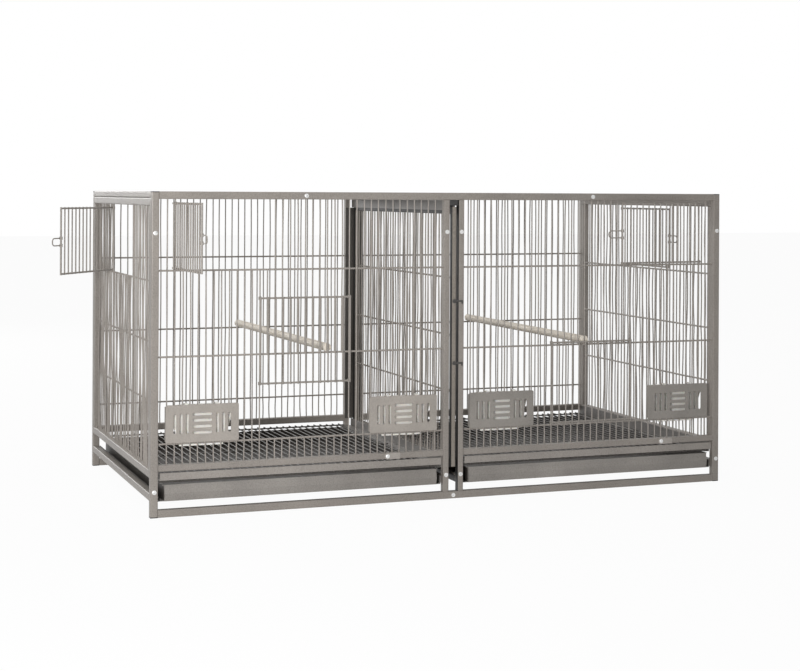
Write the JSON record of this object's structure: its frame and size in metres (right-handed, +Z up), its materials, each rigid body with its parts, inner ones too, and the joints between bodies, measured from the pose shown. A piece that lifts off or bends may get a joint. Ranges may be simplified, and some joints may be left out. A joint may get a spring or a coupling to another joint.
{
  "type": "divided breeding cage",
  "caption": "Two-compartment wire breeding cage with sliding divider, lift gates, swing doors, slotted feeder plates, cups, perches and pull-out trays.",
  "frame": {"origin": "middle of the front bottom rail's underside, in the plane the cage stands on", "axes": "+X to the right seen from the front, +Y from front to back, +Z up"},
  "size_m": [1.142, 0.7167, 0.508],
  "materials": {
    "frame_paint": "hammertone powder coat, satin",
    "grille_paint": "hammertone powder coat, satin",
    "sheet_paint": "hammertone powder coat, satin",
    "plug_plastic": "moulded, matt",
    "screw_white": "bright pan heads",
    "rivet_white": "bright rivet heads",
    "tray_paint": "hammertone powder coat, satin",
    "grate_paint": "hammertone powder coat, satin",
    "strip_paint": "hammertone powder coat, satin",
    "divider_paint": "hammertone powder coat, satin",
    "hook_wire": "hammertone powder coat, satin",
    "plate_paint": "hammertone powder coat, satin",
    "cup_plastic": "ivory, slightly glossy",
    "gate_paint": "hammertone powder coat, satin",
    "door_paint": "hammertone powder coat, satin",
    "loop_wire": "hammertone powder coat, satin",
    "latch_paint": "hammertone powder coat, satin",
    "perch_wood": "plain turned dowel"
  },
  "bodies": {
    "cage": {"front_posts": "frame_paint", "front_rails": "frame_paint", "back_posts": "frame_paint", "back_rails": "frame_paint", "left_side_rails": "frame_paint", "right_side_rails": "frame_paint", "side_uprights": "frame_paint", "roof_rails": "frame_paint", "roof_bars": "frame_paint", "centre_rails": "frame_paint", "front_left_grille": "grille_paint", "front_right_grille": "grille_paint", "back_left_grille": "grille_paint", "back_right_grille": "grille_paint", "left_side_grille": "grille_paint", "right_side_grille": "grille_paint", "roof_grille": "grille_paint", "tray_runners": "sheet_paint", "grate_ledges": "sheet_paint", "divider_sill": "sheet_paint", "divider_top_guide": "sheet_paint", "post_plugs": "plug_plastic", "frame_screws": "screw_white", "latch_rivets": "rivet_white"},
    "left_tray": {"left_tray": "tray_paint"},
    "right_tray": {"right_tray": "tray_paint"},
    "left_grate": {"left_grate": "grate_paint", "left_grate_strip": "strip_paint"},
    "right_grate": {"right_grate": "grate_paint", "right_grate_strip": "strip_paint"},
    "divider": {"divider_posts": "divider_paint", "divider_rails": "divider_paint", "divider_grille": "divider_paint", "divider_hook_pins": "hook_wire"},
    "upper_divider_hook": {"upper_divider_hook": "hook_wire"},
    "lower_divider_hook": {"lower_divider_hook": "hook_wire"},
    "left_gate": {"left_gate": "gate_paint"},
    "right_gate": {"right_gate": "gate_paint"},
    "front_left_door": {"front_left_door": "door_paint"},
    "front_right_door": {"front_right_door": "door_paint"},
    "left_side_door": {"left_side_door": "door_paint"},
    "right_side_door": {"right_side_door": "door_paint"},
    "front_left_loop": {"front_left_loop": "loop_wire"},
    "front_right_loop": {"front_right_loop": "loop_wire"},
    "left_side_loop": {"left_side_loop": "loop_wire"},
    "right_side_loop": {"right_side_loop": "loop_wire"},
    "left_turn_latch": {"left_turn_latch": "latch_paint"},
    "right_turn_latch": {"right_turn_latch": "latch_paint"},
    "left_perch": {"left_perch": "perch_wood"},
    "right_perch": {"right_perch": "perch_wood"},
    "feeder_plate_1": {"feeder_plate_1": "plate_paint"},
    "feed_cup_1": {"feed_cup_1": "cup_plastic"},
    "feeder_plate_2": {"feeder_plate_2": "plate_paint"},
    "feed_cup_2": {"feed_cup_2": "cup_plastic"},
    "feeder_plate_3": {"feeder_plate_3": "plate_paint"},
    "feed_cup_3": {"feed_cup_3": "cup_plastic"},
    "feeder_plate_4": {"feeder_plate_4": "plate_paint"},
    "feed_cup_4": {"feed_cup_4": "cup_plastic"}
  },
  "joints": [
    {"name": "left_tray_slide", "type": "slide", "parent": "cage", "child": "left_tray", "axis": [0, 1, 0], "range_m": [-0.45, 0]},
    {"name": "right_tray_slide", "type": "slide", "parent": "cage", "child": "right_tray", "axis": [0, 1, 0], "range_m": [-0.45, 0]},
    {"name": "left_grate_slide", "type": "slide", "parent": "cage", "child": "left_grate", "axis": [0, 1, 0], "range_m": [-0.45, 0]},
    {"name": "right_grate_slide", "type": "slide", "parent": "cage", "child": "right_grate", "axis": [0, 1, 0], "range_m": [-0.45, 0]},
    {"name": "divider_slide", "type": "slide", "parent": "cage", "child": "divider", "axis": [0, 1, 0], "range_m": [-0.45, 0]},
    {"name": "upper_hook_pivot", "type": "hinge", "parent": "divider", "child": "upper_divider_hook", "pos_m": [0, -0.00725, 0.328], "axis": [0, -1, 0], "range_deg": [0, 90]},
    {"name": "lower_hook_pivot", "type": "hinge", "parent": "divider", "child": "lower_divider_hook", "pos_m": [0, -0.00725, 0.225], "axis": [0, -1, 0], "range_deg": [0, 90]},
    {"name": "feeder_plate_1_lift", "type": "slide", "parent": "cage", "child": "feeder_plate_1", "axis": [0, 0, 1], "range_m": [0, 0.07]},
    {"name": "feed_cup_1_lift", "type": "slide", "parent": "cage", "child": "feed_cup_1", "axis": [0, 0, 1], "range_m": [0, 0.04]},
    {"name": "feeder_plate_2_lift", "type": "slide", "parent": "cage", "child": "feeder_plate_2", "axis": [0, 0, 1], "range_m": [0, 0.07]},
    {"name": "feed_cup_2_lift", "type": "slide", "parent": "cage", "child": "feed_cup_2", "axis": [0, 0, 1], "range_m": [0, 0.04]},
    {"name": "feeder_plate_3_lift", "type": "slide", "parent": "cage", "child": "feeder_plate_3", "axis": [0, 0, 1], "range_m": [0, 0.07]},
    {"name": "feed_cup_3_lift", "type": "slide", "parent": "cage", "child": "feed_cup_3", "axis": [0, 0, 1], "range_m": [0, 0.04]},
    {"name": "feeder_plate_4_lift", "type": "slide", "parent": "cage", "child": "feeder_plate_4", "axis": [0, 0, 1], "range_m": [0, 0.07]},
    {"name": "feed_cup_4_lift", "type": "slide", "parent": "cage", "child": "feed_cup_4", "axis": [0, 0, 1], "range_m": [0, 0.04]},
    {"name": "left_gate_lift", "type": "slide", "parent": "cage", "child": "left_gate", "axis": [0, 0, 1], "range_m": [-0.085, 0.03]},
    {"name": "right_gate_lift", "type": "slide", "parent": "cage", "child": "right_gate", "axis": [0, 0, 1], "range_m": [0, 0.115]},
    {"name": "front_left_door_hinge", "type": "hinge", "parent": "cage", "child": "front_left_door", "pos_m": [-0.4695, 0, 0.438], "axis": [0, 0, 1], "range_deg": [-47, 88]},
    {"name": "front_right_door_hinge", "type": "hinge", "parent": "cage", "child": "front_right_door", "pos_m": [0.4695, 0, 0.438], "axis": [0, 0, 1], "range_deg": [-7, 128]},
    {"name": "left_side_door_hinge", "type": "hinge", "parent": "cage", "child": "left_side_door", "pos_m": [-0.502, 0.344, 0.425], "axis": [0, 0, 1], "range_deg": [-97, 38]},
    {"name": "right_side_door_hinge", "type": "hinge", "parent": "cage", "child": "right_side_door", "pos_m": [0.502, 0.344, 0.425], "axis": [0, 0, 1], "range_deg": [0, 135]},
    {"name": "front_left_loop_pivot", "type": "hinge", "parent": "front_left_door", "child": "front_left_loop", "pos_m": [-0.46709, -0.16652, 0.438], "axis": [0, 0, 1], "range_deg": [-110, 0]},
    {"name": "front_right_loop_pivot", "type": "hinge", "parent": "front_right_door", "child": "front_right_loop", "pos_m": [0.30466, -0.02367, 0.438], "axis": [0, 0, 1], "range_deg": [0, 110]},
    {"name": "left_side_loop_pivot", "type": "hinge", "parent": "left_side_door", "child": "left_side_loop", "pos_m": [-0.61488, 0.20504, 0.42375], "axis": [0, 0, 1], "range_deg": [-110, 0]},
    {"name": "right_side_loop_pivot", "type": "hinge", "parent": "right_side_door", "child": "right_side_loop", "pos_m": [0.5054, 0.165, 0.42375], "axis": [0, 0, 1], "range_deg": [0, 110]},
    {"name": "left_latch_pivot", "type": "hinge", "parent": "cage", "child": "left_turn_latch", "pos_m": [-0.11684, -0.00695, 0.0765], "axis": [0, 1, 0], "range_deg": [0, 90]},
    {"name": "right_latch_pivot", "type": "hinge", "parent": "cage", "child": "right_turn_latch", "pos_m": [0.39116, -0.00695, 0.0765], "axis": [0, 1, 0], "range_deg": [0, 90]},
    {"name": "left_perch_lift", "type": "slide", "parent": "cage", "child": "left_perch", "axis": [0, 0, 1], "range_m": [0, 0.08]},
    {"name": "right_perch_lift", "type": "slide", "parent": "cage", "child": "right_perch", "axis": [0, 0, 1], "range_m": [0, 0.08]}
  ]
}
